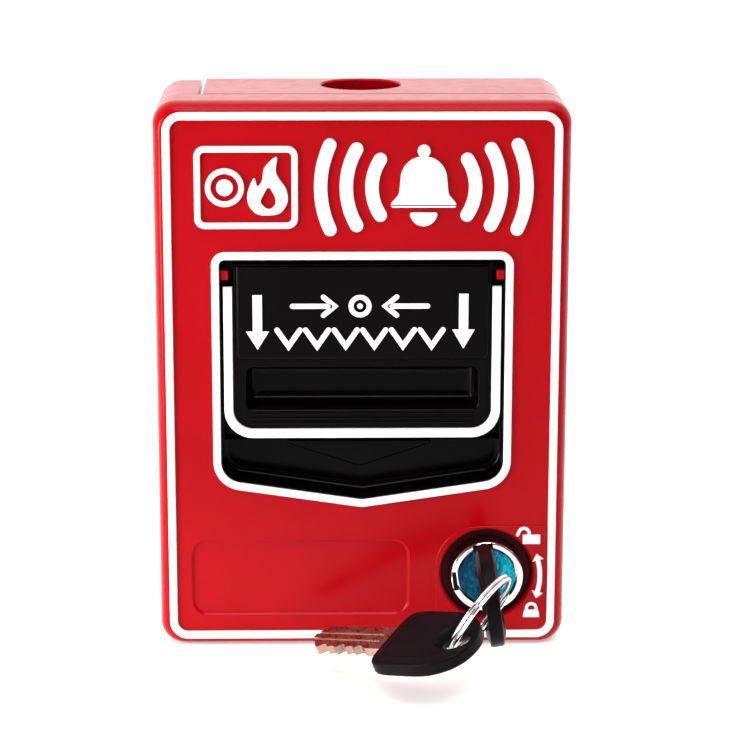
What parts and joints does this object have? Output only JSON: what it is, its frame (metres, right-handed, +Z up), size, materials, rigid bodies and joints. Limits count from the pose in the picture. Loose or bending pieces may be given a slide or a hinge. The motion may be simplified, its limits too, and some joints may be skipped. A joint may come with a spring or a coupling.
{
  "type": "manual call point",
  "caption": "Red wall-mounted fire alarm call point with a hinged key-locked cover and a black handle that is pushed in and pulled down.",
  "frame": {"origin": "centre of the back face, on the wall plane", "axes": "+Z up, +Y into the wall, +X to the right for someone facing the cover"},
  "size_m": [0.0884, 0.0809, 0.12],
  "materials": {
    "red_abs": "gloss moulded red",
    "black_abs": "gloss moulded black",
    "grey_plastic": "moulded grey",
    "key_plastic": "satin black",
    "chrome": "bright plating",
    "steel": "zinc-plated, satin",
    "brass": "milled copper-gold",
    "teal_foil": "metallic teal lacquer",
    "circuit_board": "green solder mask",
    "wire_red": "insulation",
    "wire_black": "insulation"
  },
  "bodies": {
    "housing": {"rear_housing": "red_abs", "hinge_pin_upper": "steel", "hinge_pin_lower": "steel", "lock_strike": "steel", "strike_screw_1": "steel", "strike_screw_2": "steel"},
    "cover": {"front_cover": "red_abs", "handle_well": "black_abs", "inner_chassis": "steel", "chassis_screw_1": "steel", "chassis_screw_2": "steel", "chassis_screw_3": "steel", "chassis_screw_4": "steel", "switch_body": "grey_plastic", "lever_pin": "steel", "switch_tab_1": "brass", "switch_tab_2": "brass", "switch_tab_3": "brass", "switch_screw_1": "steel", "switch_screw_2": "steel", "circuit_board": "circuit_board", "board_screw_1": "steel", "board_screw_2": "steel", "terminal_block": "grey_plastic", "terminal_screw_1": "steel", "terminal_screw_2": "steel", "terminal_screw_3": "steel", "terminal_screw_4": "steel", "wire_header": "grey_plastic", "switch_wire_red": "wire_red", "switch_wire_black": "wire_black", "lock_body": "chrome", "lock_nut": "steel", "lock_washer": "steel"},
    "push": {"push_carriage": "grey_plastic", "push_spring_left": "steel", "push_spring_right": "steel", "return_spring_left": "steel", "return_spring_right": "steel", "guide_clip_left": "steel", "guide_clip_right": "steel"},
    "pull": {"pull_handle": "black_abs"},
    "lever": {"switch_lever": "steel"},
    "plunger": {"switch_plunger": "red_abs"},
    "lock": {"lock_plug": "brass", "plug_face": "teal_foil", "lock_cam": "steel", "cam_screw": "steel"},
    "key": {"key_blade": "brass", "key_head": "key_plastic"},
    "ring": {"split_ring": "chrome"},
    "spare_key": {"spare_key_blade": "brass", "spare_key_head": "key_plastic"}
  },
  "joints": [
    {"name": "cover_hinge", "type": "hinge", "parent": "housing", "child": "cover", "pos_m": [-0.039, -0.0054, 0], "axis": [0, 0, -1], "range_deg": [0, 90]},
    {"name": "push_in", "type": "slide", "parent": "cover", "child": "push", "axis": [0, 1, 0], "range_m": [0, 0.0025], "stiffness_N_per_m": 1500, "springref_m": -0.004, "deforming": ["push_spring_left", "push_spring_right"]},
    {"name": "pull_down", "type": "slide", "parent": "push", "child": "pull", "axis": [0, 0, -1], "range_m": [0, 0.007], "stiffness_N_per_m": 400, "springref_m": -0.006, "deforming": ["return_spring_left", "return_spring_right"]},
    {"name": "switch_lever_turn", "type": "hinge", "parent": "cover", "child": "lever", "pos_m": [0.00502, -0.0245, -0.03141], "axis": [0, -1, 0], "range_deg": [0, 25.2]},
    {"name": "switch_plunger_press", "type": "slide", "parent": "cover", "child": "plunger", "axis": [0, 0, -1], "range_m": [0, 0.0021]},
    {"name": "lock_turn", "type": "hinge", "parent": "cover", "child": "lock", "pos_m": [0.0271, -0.0394, -0.0434], "axis": [0, -1, 0], "range_deg": [0, 90]},
    {"name": "key_withdraw", "type": "slide", "parent": "lock", "child": "key", "axis": [0, -1, 0], "range_m": [0, 0.022]},
    {"name": "ring_swing", "type": "hinge", "parent": "key", "child": "ring", "pos_m": [0.0271, -0.0604, -0.0434], "axis": [0.9903, 0, 0.1392], "range_deg": [0, 15]},
    {"name": "spare_key_swing", "type": "hinge", "parent": "ring", "child": "spare_key", "pos_m": [0.01887, -0.0741, -0.04618], "axis": [-0.3459, -0.158, 0.9249], "range_deg": [-15, 15]}
  ],
  "couplings": [
    {"joint": "switch_lever_turn", "follows": "pull_down", "rad_per_m": 62.33},
    {"joint": "switch_plunger_press", "follows": "pull_down", "ratio": 0.285}
  ]
}
